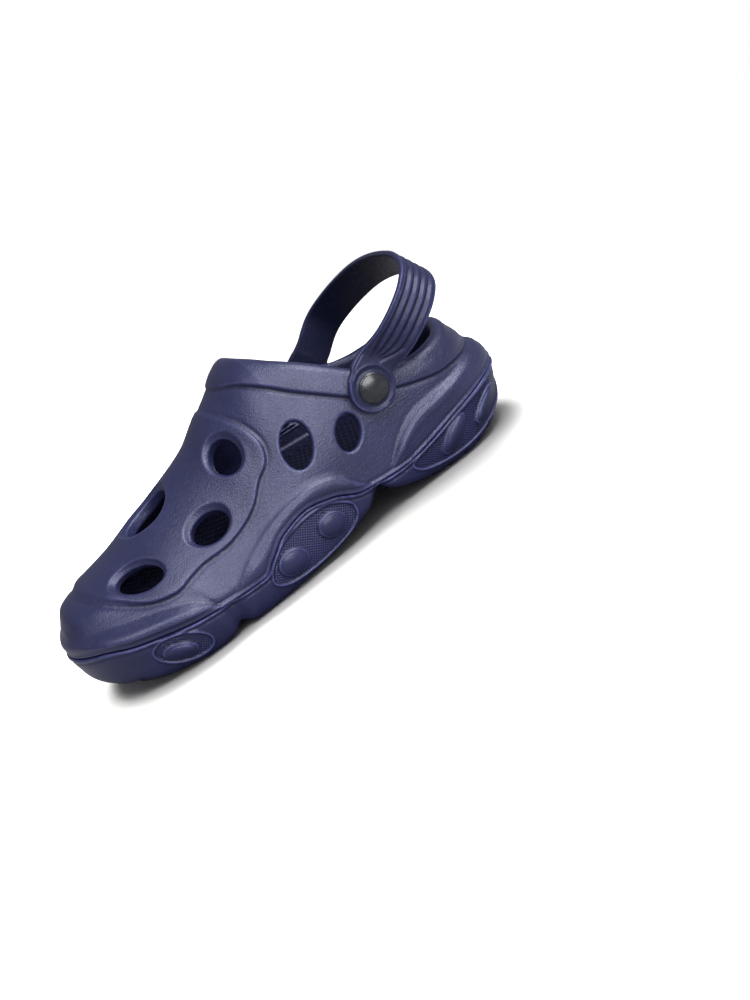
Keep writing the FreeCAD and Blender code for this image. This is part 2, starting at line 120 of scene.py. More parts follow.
# Features of the skin, all drawn in the side view as (y, z)
COLLAR_GROOVE = [
    (-20, 112), (-6, 106.2), (2, 104.6), (12.7, 97.5), (23.6, 87.8), (35.4, 78.3), (48, 68.6), (60, 62.4),
    (72.6, 58.3), (87, 53.7), (104.5, 50.2), (122, 49.6), (150, 49.6)]
FENDER_TOP = [
    (-66, 18), (-58.9, 23.6), (-51, 29.5), (-40, 35), (-28.4, 39.6), (-14, 43), (-1, 43.8), (12, 41),
    (21, 35.4), (28, 27.5), (36, 20)]
TOE_ROLL_TOP = [(-152, 42.6), (-130, 41.2), (-112, 37.6), (-96, 34.4), (-84, 31), (-76, 26), (-70, 19)]
HEEL_RIDGE = [(44, 19), (51, 26), (62.6, 34), (72, 38.4), (83, 40.5), (106, 42.7), (127, 45.6), (150, 47)]
PANEL = [
    (-125, 56), (-118.5, 52), (-109, 46), (-98.6, 41.2), (-86, 39.2), (-76, 40.8), (-66, 42.2), (-50, 42.8),
    (-37, 46.5), (-27, 52), (-18, 60), (-10.5, 65), (-6.5, 71), (-5.5, 78), (-8, 87), (-13.5, 95),
    (-20, 101), (-34, 100), (-80, 90), (-122, 66), (-128, 59)]

# Vents: (name, place, direction out of the wall, long axis, half-length, half-width)
CENTRE_VENT = ("centre", (1.6, -69.6, 64), (-0.04, -0.28, 0.96), (0, 1, 0.3), 15.5, 13)
SIDE_VENTS = [
    ("upper", (25.8, -22.4, 75.6), (0.55, -0.35, 0.76), (0.82, 0.07, -0.56), 11.2, 8.9),
    ("mid", (37.4, -51.8, 53), (0.62, -0.22, 0.75), (0.14, 0.98, 0.17), 11, 8.5),
    ("toe", (30.5, -95.6, 49.2), (0.48, -0.35, 0.80), (0.67, 0.74, -0.08), 13.8, 8),
    ("side_front", (48, 9, 64.9), (0.95, -0.05, 0.30), (-0.25, 0.41, 0.87), 13, 8.6),
    ("side_rear", (48, 36.6, 53.9), (0.98, 0, 0.20), (-0.17, 0.53, 0.83), 10.2, 7.3),
]
LATERAL_SHIFT = {"side_front": (5, 0), "side_rear": (6, 7)}
DISHED = ("centre", "upper", "mid", "toe")

# Moulded panels on the sole's side walls, side view
TOE_OVALS = [(-99, 13.8, 15.6, 8.2, -25), (-101.3, 13.3, 8.6, 4, -23)]
ARCH_PANEL = [
    (-42, 11.5), (-40.5, 17.5), (-33, 24.5), (-22, 29.3), (-8, 31.3), (4, 29.8), (12.5, 25.8), (17.5, 20.5),
    (16.5, 13.5), (8, 7.8), (-8, 5), (-22, 4.6), (-35, 6.4)]
ARCH_BUBBLES = [(-27.2, 15.2, 8.6, 6.7, -12), (1.8, 18.6, 8.2, 6.4, -12)]
HEEL_PANEL = [
    (59, 16), (66, 18.4), (76, 20.4), (88, 22.6), (100, 25.2), (115, 27.8), (130, 30), (145, 31), (146, 22),
    (136, 14), (122, 9.4), (108, 6.4), (96, 5.2), (84, 5.2), (72, 7.2), (63, 10.6)]
HEEL_BUBBLES = [(89.8, 16.6, 12, 4.4, 33), (117.5, 18.4, 12.2, 4, 27)]

# Heel strap: middle line in its own plane as shares of its reach (across, outward), and its section
STRAP_PATH = [
    (0.673, -0.120), (0.673, 0), (0.673, 0.120), (0.673, 0.180), (0.692, 0.240), (0.735, 0.320),
    (0.782, 0.430), (0.812, 0.570), (0.798, 0.725), (0.700, 0.870), (0.480, 0.970), (0.200, 1),
    (-0.080, 0.985), (-0.330, 0.920), (-0.560, 0.790), (-0.740, 0.630), (-0.812, 0.500), (-0.795, 0.370),
    (-0.725, 0.260), (-0.673, 0.180), (-0.673, 0.120), (-0.673, 0), (-0.673, -0.120)]
STRAP_REACH = 74.6
STRAP_LIFT = math.radians(34.0)
STRAP_HALF_THICK = 1.8
STRAP_HALF_WIDE = 11.25
STRAP_END_RADIUS = 13.5


# ---- small numeric helpers

def smooth_curve(points, fine=0.2):
    """Monotone cubic through the points, tabled finely and read back by linear interpolation."""
    xs, ys = np.array(points, float).T
    gaps = np.diff(xs)
    slopes = np.diff(ys) / gaps
    product = slopes[:-1] * slopes[1:]
    total = np.where(np.abs(slopes[:-1] + slopes[1:]) < 1e-12, 1.0, slopes[:-1] + slopes[1:])
    inner = np.where(product > 0, 2 * product / total, 0.0)
    tangents = np.concatenate([slopes[:1], inner, slopes[-1:]])
    table_x = np.arange(xs[0], xs[-1] + fine, fine)
    i = np.clip(np.searchsorted(xs, table_x, side="right") - 1, 0, len(gaps) - 1)
    t = np.clip((table_x - xs[i]) / gaps[i], 0, 1)
    rise = (2 * t ** 3 - 3 * t ** 2 + 1) * ys[i] + (3 * t ** 2 - 2 * t ** 3) * ys[i + 1]
    bend = (t ** 3 - 2 * t ** 2 + t) * tangents[i] + (t ** 3 - t ** 2) * tangents[i + 1]
    table_y = rise + gaps[i] * bend
    return lambda x: np.interp(x, table_x, table_y)


def ease(t):
    t = np.clip(t, 0.0, 1.0)
    return t * t * (3 - 2 * t)


def smooth_max(a, b, k):
    """Larger of two fields with a rounded inner corner of about k millimetres."""
    gap = np.maximum(k - np.abs(a - b), 0.0) / k
    return np.maximum(a, b) + gap * gap * k * 0.25


def smooth_min(a, b, k):
    return -smooth_max(-a, -b, k)


def bell(distance, width):
    return np.exp(-(distance / width) ** 2)


def spline_span(a, b, c, d, t):
    """Catmull-Rom curve from b to c."""
    return 0.5 * (2 * b + (c - a) * t + (2 * a - 5 * b + 4 * c - d) * t ** 2
                  + (3 * b - a - 3 * c + d) * t ** 3)


def rounded_loop(points, samples=12):
    """Closed smooth curve through the points."""
    p = np.array(points, float)
    t = np.linspace(0, 1, samples, endpoint=False)[:, None]
    corners = [np.roll(p, shift, axis=0) for shift in (1, 0, -1, -2)]
    return np.concatenate([spline_span(*four, t) for four in zip(*corners)])


def loop_distance(loop, y, z):
    """Signed distance to a closed polyline, negative inside."""
    best = np.full(y.shape, 1e9)
    crossings = np.zeros(y.shape, int)
    for (ay, az), (by, bz) in zip(loop, np.roll(loop, -1, axis=0)):
        ey, ez = by - ay, bz - az
        t = np.clip(((y - ay) * ey + (z - az) * ez) / max(ey * ey + ez * ez, 1e-12), 0, 1)
        best = np.minimum(best, (y - ay - ey * t) ** 2 + (z - az - ez * t) ** 2)
        straddles = (az > z) != (bz > z)
        at = ay + (z - az) * ey / (ez if abs(ez) > 1e-12 else 1e-12)
        crossings += straddles & (y < at)
    return np.where(crossings % 2 == 1, -1.0, 1.0) * np.sqrt(best)


def oval_distance(a, b, half_a, half_b):
    """Near-exact signed distance to an ellipse."""
    k0 = np.sqrt((a / half_a) ** 2 + (b / half_b) ** 2) + 1e-9
    k1 = np.sqrt((a / half_a ** 2) ** 2 + (b / half_b ** 2) ** 2) + 1e-9
    return k0 * (k0 - 1) / k1


def turned(y, z, centre_y, centre_z, degrees):
    c, s = math.cos(math.radians(degrees)), math.sin(math.radians(degrees))
    return (y - centre_y) * c + (z - centre_z) * s, (z - centre_z) * c - (y - centre_y) * s


def between_nodes(grid, i, j):
    """Grid read at broken node numbers, held at its edges."""
    i = np.clip(i, 0, grid.shape[0] - 1.001)
    j = np.clip(j, 0, grid.shape[1] - 1.001)
    i0, j0 = i.astype(int), j.astype(int)
    u, v = i - i0, j - j0
    return ((grid[i0, j0] * (1 - u) + grid[i0 + 1, j0] * u) * (1 - v)
            + (grid[i0, j0 + 1] * (1 - u) + grid[i0 + 1, j0 + 1] * u) * v)


class SideTable:
    """A function of the side view (y, z), worked out once on a grid and read back smoothly."""

    def __init__(self, function, low=(-152.0, -6.0), high=(152.0, 126.0), fine=0.4):
        self.low, self.fine = low, fine
        ys = np.arange(low[0], high[0], fine)
        zs = np.arange(low[1], high[1], fine)
        self.grid = function(*np.meshgrid(ys, zs, indexing="ij"))

    def __call__(self, y, z):
        return between_nodes(self.grid, (y - self.low[0]) / self.fine, (z - self.low[1]) / self.fine)


# ---- base form

centre_x = smooth_curve(CENTRE_LINE)
widest_z = smooth_curve(WIDEST_HEIGHT)
front_crown = smooth_curve(CROWN)
topline_z = smooth_curve(TOPLINE)
parting_z = smooth_curve(PARTING)
insole_z = smooth_curve(INSOLE)
rise_exponent = smooth_curve(RISE_EXPONENT)
width_exponent = smooth_curve(WIDTH_EXPONENT)
heel_lean = smooth_curve(HEEL_LEAN)
sole_tuck = smooth_curve(SOLE_TUCK)
collar_groove_z = smooth_curve(COLLAR_GROOVE)
fender_top_z = smooth_curve(FENDER_TOP)
toe_roll_z = smooth_curve(TOE_ROLL_TOP)
heel_ridge_z = smooth_curve(HEEL_RIDGE)


def crown_height(y):
    return front_crown(y) + (SIDE_CROWN - CROWN[-1][1]) * ease((y - CROWN[-1][0]) / 30.0)


def plan_spread(y, z):
    """(1 on the straight stretch, falling to 0 at toe and heel; the half-width that it scales)."""
    toe = np.maximum(TOE_CENTRE_Y - y, 0) / TOE_LENGTH
    heel = np.maximum(y - HEEL_CENTRE_Y, 0) / (HEEL_LENGTH + heel_lean(z))
    blend = ease((y - TOE_CENTRE_Y) / (HEEL_CENTRE_Y - TOE_CENTRE_Y))
    return 1 - toe ** 2 - heel ** 2, FOREFOOT_HALF_WIDTH + (HEEL_HALF_WIDTH - FOREFOOT_HALF_WIDTH) * blend


def plan_field(x, y, z):
    spread, half = plan_spread(y, z)
    return ((x - centre_x(y)) / half) ** 2 - spread


def dome_field(x, y, z):
    spread, half = plan_spread(y, z)
    widest = widest_z(y)
    rise = np.maximum(z - widest, 0) / np.maximum(crown_height(y) - widest, 6.0)
    rounded = 0.5 * (spread + np.sqrt(spread ** 2 + 0.09))
    power = width_exponent(y) / 2
    across = ((x - centre_x(y)) / half) ** 2 / rounded + CREST_ROUND
    across = (across ** power - CREST_ROUND ** power) / ((1 + CREST_ROUND) ** power - CREST_ROUND ** power)
    return across + rise ** rise_exponent(y) - 1


def as_distance(field, x, y, z, e=0.25):
    """First-order distance to the zero level of a field."""
    value = field(x, y, z)
    gx = (field(x + e, y, z) - value) / e
    gy = (field(x, y + e, z) - value) / e
    gz = (field(x, y, z + e) - value) / e
    return value / np.maximum(np.sqrt(gx * gx + gy * gy + gz * gz), 1e-4)


def body_distance(x, y, z):
    """Distance to the plain outer form of the clog, negative inside."""
    plan = as_distance(plan_field, x, y, z)
    dome = as_distance(dome_field, x, y, z)
    return np.where(z > widest_z(y), smooth_max(plan, dome, 0.6), plan)


def above_curve(curve, y, z, e=0.5):
    """Distance above a side-view curve."""
    slope = (curve(y + e) - curve(y - e)) / (2 * e)
    return (z - curve(y)) / np.sqrt(1 + slope ** 2)


def lobe_floor(y):
    height = np.min([curvature * (y - low) ** 2 for low, curvature in LOBES], axis=0) - TREAD_FLAT
    for place, rise, reach in NOTCHES:
        height = height + rise * np.exp(-((y - place) / reach) ** 2)
    return height


# ---- relief of the upper

# Height of each swelling against the share of the way up from the parting line to its top curve
ROLL_PROFILE = smooth_curve([
    (-0.2, 0.3), (0, 0.5), (0.2, 1.8), (0.5, 3.3), (0.72, 2.7), (0.95, 0.5), (1.15, -0.9), (1.45, -1),
    (1.9, -0.5), (2.5, 0), (3, 0)], 0.01)
FENDER_PROFILE = smooth_curve([
    (-0.3, 0.6), (0, 0.8), (0.3, 2.1), (0.65, 2.7), (0.9, 2.2), (1.1, 0.8), (1.35, 0), (3, 0)], 0.01)
HEEL_PROFILE = smooth_curve([
    (-0.2, 0.9), (0, 1.1), (0.3, 1.9), (0.6, 2.8), (0.8, 3.4), (0.9, 3.4), (1, 2.6), (1.13, 0.8),
    (1.25, -0.1), (1.5, 0), (3, 0)], 0.01)
HEEL_REAR = smooth_curve([
    (-0.2, 3.4), (0, 3.6), (0.3, 3.9), (0.6, 3.7), (0.85, 2.9), (1, 2.1), (1.15, 1.2), (1.35, 0.4),
    (1.6, 0), (3, 0)], 0.01)

# where the swung strap comes to rest on the collar: (y, z, depth of the hollow, reach)
STRAP_RESTS = [(130.0, 63.8, 1.15, 10.0), (5.5, 114.6, 1.5, 7.5)]


def share_up(y, z, top):
    """0 at the parting line, 1 at a feature's top curve."""
    low = parting_z(y)
    return (z - low) / np.maximum(top(y) - low, 1.5)


def toe_swelling(y, z):
    """Roll round the toe, flatter at the tip, and the rounded cap above it."""
    roll = ROLL_PROFILE(share_up(y, z, toe_roll_z)) * ease((-64 - y) / 24)
    cap = 1.3 * ease((-104 - y) / 20) * ease((y + 145) / 9) * bell(z - 51.0, 6.0)
    return roll * (1 - 0.7 * ease((-128 - y) / 15)) + cap


def side_swelling(y, z):
    """Fender over the middle lobe and the ridge that runs round the heel."""
    fender = FENDER_PROFILE(share_up(y, z, fender_top_z)) * ease((y + 66) / 20) * ease((36 - y) / 12)
    up = share_up(y, z, heel_ridge_z)
    rear = ease((y - 94) / 40)
    return fender + (HEEL_PROFILE(up) * (1 - rear) + HEEL_REAR(up) * rear) * ease((y - 44) / 16)


def vamp_panel(y, z):
    """Raised panel round the vents, with a crease along its edge, softer across the toe."""
    edge = loop_distance(rounded_loop(PANEL, 6), y, z)
    soft = 2.2 + 3.0 * ease((-98 - y) / 20)
    raised = 1.45 * ease((1.0 - edge) / soft) - 0.45 * bell(edge - 1.9, 1.0) + 0.3 * bell(edge + 2.5, 2.5)
    return raised * (0.25 + 0.75 * ease((106 - z) / 26))


def collar_band(y, z):
    """Thick band along the opening, above its groove, fuller round the heel."""
    above = above_curve(collar_groove_z, y, z)
    band = 1.7 * ease((above + 0.3) / 1.9) - 0.6 * bell(above + 0.9, 0.9) + 0.4 * bell(above - 5.5, 4.5)
    return band * (0.3 + 0.7 * ease((y + 8) / 16)) + 1.2 * ease((y - 80) / 40) * bell(above - 8.0, 6.0)


def upper_relief(y, z):
    """How far the upper's skin stands proud of the plain form."""
    lip = parting_lip(y, z, 0.9, 0.6) - parting_lip(y, z, 2.9, 0.3)
    rests = sum(depth * bell(np.hypot(y - at_y, z - at_z), reach) for at_y, at_z, depth, reach in STRAP_RESTS)
    return toe_swelling(y, z) + side_swelling(y, z) + vamp_panel(y, z) + collar_band(y, z) + lip - rests


def parting_lip(y, z, centre, proud):
    """Thin bead that follows the parting line."""
    return proud * bell(above_curve(parting_z, y, z) - centre, 0.75)


upper_relief_table = SideTable(upper_relief)


def vent_frames():
    """(kind, origin, u, v, outward, half-length, half-width) of every vent, both sides."""
    rows = [CENTRE_VENT + (1,)] + [vent + (side,) for vent in SIDE_VENTS for side in (1, -1)]
    frames = []
    for name, place, out, long, half_long, half_wide, side in rows:
        mirror = np.array([side, 1, 1])
        back, up = LATERAL_SHIFT.get(name, (0, 0)) if side < 0 else (0, 0)
        out = np.array(out) * mirror / np.linalg.norm(out)
        u = np.array(long) * mirror
        u = u - out * (u @ out)
        u = u / np.linalg.norm(u)
        centre = np.array(place) * mirror + np.array([0, back, up])
        frames.append((name, centre, u, np.cross(out, u), out, half_long, half_wide))
    return frames


VENTS = vent_frames()


def vent_effects(x, y, z):
    """(distance outside the nearest vent's tube, depth of the dished lips)."""
    nearest = np.full(x.shape, 60.0)
    dish = np.zeros(x.shape)
    p = np.stack([x, y, z])
    for name, place, u, v, out, half_long, half_wide in VENTS:
        d = p - place[:, None]
        a, b, along = u @ d, v @ d, out @ d
        gap = oval_distance(a, b, half_long, half_wide)
        gap = np.where(along > -22, gap, np.hypot(np.maximum(gap, 0), along + 22) + 1)
        nearest = np.minimum(nearest, gap)
        if name in DISHED:
            rim = oval_distance(a, b - 0.6, half_long + 3.4, half_wide + 3.2)
            dish = np.maximum(dish, 1.9 * ease(-rim / 3.0) * (along > -16))
        else:
            dish = np.maximum(dish, 0.5 * ease((1.6 - gap) / 2.6) * (along > -16))
    return nearest, dish


def inner_ribs(y, z):
    """Fine horizontal ribs moulded inside the quarters."""
    stretch = ease((y - 2) / 8) * ease((70 - y) / 15) * ease((z - 46) / 3) * ease((76 - z) / 4)
    return 0.4 * np.sin(2 * math.pi * z / 2.4) * stretch


def wall_thickness(y, z):
    heel_roll = 3.4 * ease((y - 70) / 45) * bell(z - 62, 9.0)
    vamp = 1.6 * ease((2 - y) / 12) * ease((z - 50) / 10)
    ledge = 1.5 * ease((insole_z(y) + 5.0 - z) / 0.9)
    return WALL + heel_roll + vamp + ledge


def upper_field(p):
    x, y, z = p.T
    body = body_distance(x, y, z)
    nearest, dish = vent_effects(x, y, z)
    outer = body - upper_relief_table(y, z) + dish
    side = np.abs(x)
    axis = np.hypot(y - PIVOT[1], z - PIVOT[2])
    boss = np.maximum(axis - BOSS_RADIUS, np.maximum(side - BOSS_FACE, SEAT_FACE - side))
    outer = smooth_min(outer, boss, 1.6)
    clear = np.maximum(axis - (STRAP_END_RADIUS + 1.2), BOSS_FACE - side)
    outer = smooth_max(outer, -clear, 0.8)
    inner = body + wall_thickness(y, z) + inner_ribs(y, z)
    shell = smooth_max(outer, -inner, 1.4)
    shell = smooth_max(shell, above_curve(topline_z, y, z), 5.0)
    shell = smooth_max(shell, PARTING_GAP - above_curve(parting_z, y, z), 0.7)
    shell = smooth_max(shell, -nearest, 1.5)
    shell = smooth_max(shell, -np.maximum(axis - CAP_RECESS_RADIUS, side - SEAT_FACE), 0.7)
    return np.maximum(shell, BORE_RADIUS - axis)


# ---- outsole

RING_HALF_WIDTH = 0.7
BUBBLE_HEIGHT = 2.4


def bubble(y, z, centre_y, centre_z, half_a, half_b, degrees):
    """(ring, dome, inside) of one smooth oval button in a textured panel."""
    a, b = turned(y, z, centre_y, centre_z, degrees)
    edge = oval_distance(a, b, half_a, half_b)
    share = np.clip(1 - (a / half_a) ** 2 - (b / half_b) ** 2, 0, 1)
    dome = BUBBLE_HEIGHT * np.sqrt(share) * ease(-edge / 1.2)
    return bell(edge, RING_HALF_WIDTH), dome, edge


def panel_relief(y, z, edge, bubbles):
    """(relief, share of texture) of a recessed panel with a raised outline and domed buttons."""
    inside = ease(-(edge + 0.6) / 0.8)
    rings, domes, free = 0.8 * bell(edge, RING_HALF_WIDTH), 0.0, inside
    for shape in bubbles:
        one_ring, dome, rim = bubble(y, z, *shape)
        rings = np.maximum(rings, one_ring)
        domes = domes + dome
        free = free * ease((rim - 0.6) / 0.6)
    return rings + domes - 0.5 * free, free


def sole_panels(y, z):
    """Relief of the side panels, the share with squares and the share with upright ribs."""
    oval = oval_distance(*turned(y, z, *TOE_OVALS[0][:2], TOE_OVALS[0][4]), *TOE_OVALS[0][2:4])
    toe, toe_free = panel_relief(y, z, oval, TOE_OVALS[1:])
    arch, arch_free = panel_relief(y, z, loop_distance(rounded_loop(ARCH_PANEL, 6), y, z), ARCH_BUBBLES)
    heel, heel_free = panel_relief(y, z, loop_distance(rounded_loop(HEEL_PANEL, 6), y, z), HEEL_BUBBLES)
    return toe + arch + heel, np.maximum(toe_free, arch_free), heel_free


# (place, depth) of the hollows in the sole's wall between its lobes
WAISTS = ((-66.5, 2.8), (35.0, 1.6))


def sole_relief(y, z):
    above = above_curve(parting_z, y, z)
    lip = 0.5 * bell(above + 1.3, 0.8) - 0.35 * bell(above + 2.9, 0.7)
    waist = sum(-depth * bell(y - place, 5.0) * ease((z - 2) / 6) for place, depth in WAISTS)
    heel = 3.6 * ease((y - 96) / 34) * bell(z - 31, 13)
    toe = 1.3 * ease((-72 - y) / 20) * bell(above + 2.5, 6)
    return sole_panels(y, z)[0] + lip + waist + heel + toe


SOLE_TOP = (152.0, 44.0)
sole_relief_table = SideTable(sole_relief, high=SOLE_TOP, fine=0.25)
squares_table = SideTable(lambda y, z: sole_panels(y, z)[1], high=SOLE_TOP, fine=0.25)
ribs_table = SideTable(lambda y, z: sole_panels(y, z)[2], high=SOLE_TOP, fine=0.25)


def sole_marks(p):
    side = ease((np.abs(p[:, 0]) - 20) / 6)
    return {"squares": squares_table(p[:, 1], p[:, 2]) * side, "ribs": ribs_table(p[:, 1], p[:, 2]) * side}


TREAD_DEPTH = 2.2
TREAD_PITCH = 12.0
TREAD_SWING = 3.2
TREAD_WAVELENGTH = 26.0


def tread(x, y):
    """Depth of the wavy grooves under the sole."""
    wave = y + TREAD_SWING * np.sin(2 * math.pi * x / TREAD_WAVELENGTH)
    row = (wave / TREAD_PITCH) % 1.0 - 0.5
    groove = bell(row * TREAD_PITCH, 1.7)
    spine = bell(np.abs(x - centre_x(y)) - 16.0, 1.3)
    edge = ease((plan_spread(y, 5.0)[0] * 46 - 14) / 5) * ease((44 - np.abs(x - centre_x(y))) / 3)
    return TREAD_DEPTH * np.maximum(groove, 0.8 * spine) * edge


def outsole_field(p):
    x, y, z = p.T
    side = body_distance(x, y, z) + sole_tuck(z) - sole_relief_table(y, z)
    floor = lobe_floor(y) + tread(x, y) - z
    slope = lobe_floor(y + 0.5) - lobe_floor(y - 0.5)
    floor = floor / np.sqrt(1 + slope ** 2)
    sole = smooth_max(side, floor, 5.5)
    sole = np.maximum(sole, -z)
    return smooth_max(sole, above_curve(parting_z, y, z) + PARTING_GAP, 0.7)


# ---- footbed

NUB_PITCH = 4.2
NUB_HEIGHT = 0.95


def nubs(x, y):
    """Staggered rows of soft massage nubs."""
    a, b = turned(x, y, 0, 0, 32)
    dots = np.cos(2 * math.pi * a / NUB_PITCH) + np.cos(2 * math.pi * b / (NUB_PITCH * 1.25))
    return NUB_HEIGHT * ease((dots + 0.6) / 2.4)


def footbed_field(p):
    x, y, z = p.T
    body = body_distance(x, y, z)
    inside = body + wall_thickness(y, z) + BED_GAP
    edge = np.clip((-body - WALL) / 16.0, 0, 1)
    cup = 2.6 * (1 - edge) ** 3
    top = above_curve(insole_z, y, z) - cup + 1.0 - nubs(x, y) * ease((-body - WALL - 4) / 3)
    bed = smooth_max(inside, top, 1.2)
    return smooth_max(bed, 0.1 - above_curve(parting_z, y, z), 0.6)


# ---- heel strap

def strap_middle(samples=420):
    """Evenly spaced points of the strap's middle line (across, outward), in millimetres."""
    p = np.array(STRAP_PATH) * STRAP_REACH
    p = np.vstack([2 * p[0] - p[1], p, 2 * p[-1] - p[-2]])
    t = np.linspace(0, 1, 40, endpoint=False)[:, None]
    line = np.concatenate([spline_span(*four, t) for four in zip(p, p[1:], p[2:], p[3:])])
    straight = line[:, 1] < 0.18 * STRAP_REACH
    line[straight, 0] = np.sign(line[straight, 0]) * STRAP_PATH[0][0] * STRAP_REACH
    run = np.concatenate([[0], np.cumsum(np.linalg.norm(np.diff(line, axis=0), axis=1))])
    even = np.linspace(0, run[-1], samples)
    return np.stack([np.interp(even, run, line[:, k]) for k in (0, 1)], 1), even


STRAP_LINE, STRAP_RUN = strap_middle()
STRAP_GRID_LOW = (-74.0, -22.0)
STRAP_GRID_HIGH = (74.0, 84.0)
STRAP_FINE = 0.5


def strap_tables():
    """Signed side distance and run along the middle line, on a grid of the strap's plane."""
    xs, rs = (np.arange(low, high, STRAP_FINE) for low, high in zip(STRAP_GRID_LOW, STRAP_GRID_HIGH))
    gx, gr = np.meshgrid(xs, rs, indexing="ij")
    flat = np.stack([gx.ravel(), gr.ravel()], 1)
    best = np.full(len(flat), 1e9)
    off = np.zeros(len(flat))
    run = np.zeros(len(flat))
    last = len(STRAP_LINE) - 2
    for i in range(last + 1):
        a, b = STRAP_LINE[i], STRAP_LINE[i + 1]
        e = b - a
        length = np.linalg.norm(e)
        # the line runs on straight past both of its ends
        t = np.clip((flat - a) @ e / length ** 2, 0 if i else -np.inf, 1 if i < last else np.inf)
        d = flat - a - t[:, None] * e
        square = (d ** 2).sum(1)
        closer = square < best
        cross = (e[0] * d[:, 1] - e[1] * d[:, 0]) / length
        best = np.where(closer, square, best)
        off = np.where(closer, -cross, off)
        run = np.where(closer, STRAP_RUN[i] + t * length, run)
    return off.reshape(gx.shape), run.reshape(gx.shape)


STRAP_TABLES = strap_tables()


def strap_place(p):
    """(offset from the middle line, run along it, height across the band) of points."""
    dy, dz = p[:, 1] - PIVOT[1], p[:, 2] - PIVOT[2]
    c, s = math.cos(STRAP_LIFT), math.sin(STRAP_LIFT)
    out, up = dy * c + dz * s, dz * c - dy * s
    i, j = ((value - low) / STRAP_FINE for value, low in zip((p[:, 0], out), STRAP_GRID_LOW))
    off, run = (between_nodes(grid, i, j) for grid in STRAP_TABLES)
    return off, run, up


def strap_marks(p):
    off, run, up = strap_place(p)
    return {"knurl": ease(-(off + 0.6) / 0.6), "run": run, "up": up}


def strap_field(p):
    dy, dz = p[:, 1] - PIVOT[1], p[:, 2] - PIVOT[2]
    off, run, up = strap_place(p)
    total = STRAP_RUN[-1]
    pivot_run = np.interp(0.0, STRAP_LINE[:20, 1], STRAP_RUN[:20])
    from_rivet = np.minimum(run, total - run) - pivot_run
    radial = np.hypot(from_rivet, up)
    disc = radial - STRAP_END_RADIUS
    up = up - ease(from_rivet / 6) * (0.7 + 3.2 * bell(from_rivet - 9, 12))
    band = np.maximum(np.abs(up) - STRAP_HALF_WIDE, -from_rivet)
    outline = smooth_min(disc, band, 7.0)
    # ribs on the outer face: grooves that fan out from the rivet, and a thin rim along both edges
    fan = ease((from_rivet - 12) / 16)
    spread = 0.35 + 0.65 * fan
    grooves = 0.0
    for place in (-6.0, -1.6, 2.8, 7.0):
        grooves = grooves + bell(up - place * spread - 1.2 * (1 - fan), 1.15)
    grooves = grooves * ease((from_rivet - 12) / 7)
    rim = bell(outline + 1.6, 0.6)
    face = off - STRAP_HALF_THICK + 1.15 * grooves + 0.3 * rim
    back = -off - STRAP_HALF_THICK
    slab = smooth_max(face, back, 0.8)
    strap = smooth_max(slab, outline, 1.3)
    dish = 0.55 * bell(radial - 10.0, 1.2) - 0.25 * bell(radial - 12.2, 0.7)
    return np.maximum(strap + dish * (off > 0), BORE_RADIUS - np.hypot(dy, dz))


# ---- from a field to a mesh

def sample_blocks(field, low, step, shape, block=5):
    """Field values at grid nodes; only blocks near the surface are worked out node by node."""
    counts = [-(-n // block) for n in shape]
    axes = [low[k] + step * block * (np.arange(counts[k]) + 0.5) for k in range(3)]
    centres = np.stack(np.meshgrid(*axes, indexing="ij"), -1).reshape(-1, 3)
    rough = in_chunks(field, centres).reshape(counts)
    reach = step * block * 0.9 + 3.0
    near = np.abs(rough) < reach
    nodes = [n * block + 1 for n in counts]
    values = np.full(nodes, 9.0)
    filled = np.repeat(np.repeat(np.repeat(rough, block, 0), block, 1), block, 2)
    values[:-1, :-1, :-1] = np.where(filled > 0, reach, -reach)
    wanted = np.zeros(nodes, bool)
    for i, j, k in np.argwhere(near):
        box = tuple(slice(a * block, (a + 1) * block + 1) for a in (i, j, k))
        wanted[box] = True
    index = np.argwhere(wanted)
    values[wanted] = in_chunks(field, np.array(low) + index * step)
    return values


def in_chunks(field, points, size=200000):
    return np.concatenate([field(points[i:i + size]) for i in range(0, len(points), size)])


def surface_net(values, low, step):
    """One vertex in each cell that the surface crosses, one quad across each crossed grid edge."""
    inside = values < 0
    count = np.zeros([n - 1 for n in values.shape], np.int8)
    corners = [(i, j, k) for i in (0, 1) for j in (0, 1) for k in (0, 1)]

    def corner(array, c):
        return array[tuple(slice(o, o + n - 1) for o, n in zip(c, array.shape))]
    for c in corners:
        count += corner(inside, c)
    active = (count > 0) & (count < 8)
    cells = np.argwhere(active)
    number = np.full(active.shape, -1)
    number[active] = np.arange(len(cells))
    total = np.zeros((len(cells), 3))
    hits = np.zeros(len(cells))
    for a in corners:
        for axis in range(3):
            if a[axis]:
                continue
            b = list(a)
            b[axis] = 1
            va = corner(values, a)[active]
            vb = corner(values, b)[active]
            crossed = (va < 0) != (vb < 0)
            t = np.where(crossed, va / np.where(crossed, va - vb, 1), 0)
            place = np.array(a, float) + np.eye(3)[axis] * t[:, None]
            total += place * crossed[:, None]
            hits += crossed
    points = np.array(low) + (cells + total / hits[:, None]) * step
    faces = []
    for axis in range(3):
        u, v = (axis + 1) % 3, (axis + 2) % 3
        here = [slice(1, -1)] * 3
        there = [slice(1, -1)] * 3
        here[axis] = slice(0, -1)
        there[axis] = slice(1, None)
        first, second = inside[tuple(here)], inside[tuple(there)]
        edges = np.argwhere(first != second)
        starts = first[first != second]
        offset = np.ones(3, int)
        offset[axis] = 0
        base = edges + offset
        quad = []
        for du, dv in ((-1, -1), (0, -1), (0, 0), (-1, 0)):
            cell = base.copy()
            cell[:, u] += du
            cell[:, v] += dv
            quad.append(number[cell[:, 0], cell[:, 1], cell[:, 2]])
        quad = np.stack(quad, 1)
        quad[~starts] = quad[~starts][:, ::-1]
        faces.append(quad)
    return points, np.concatenate(faces)


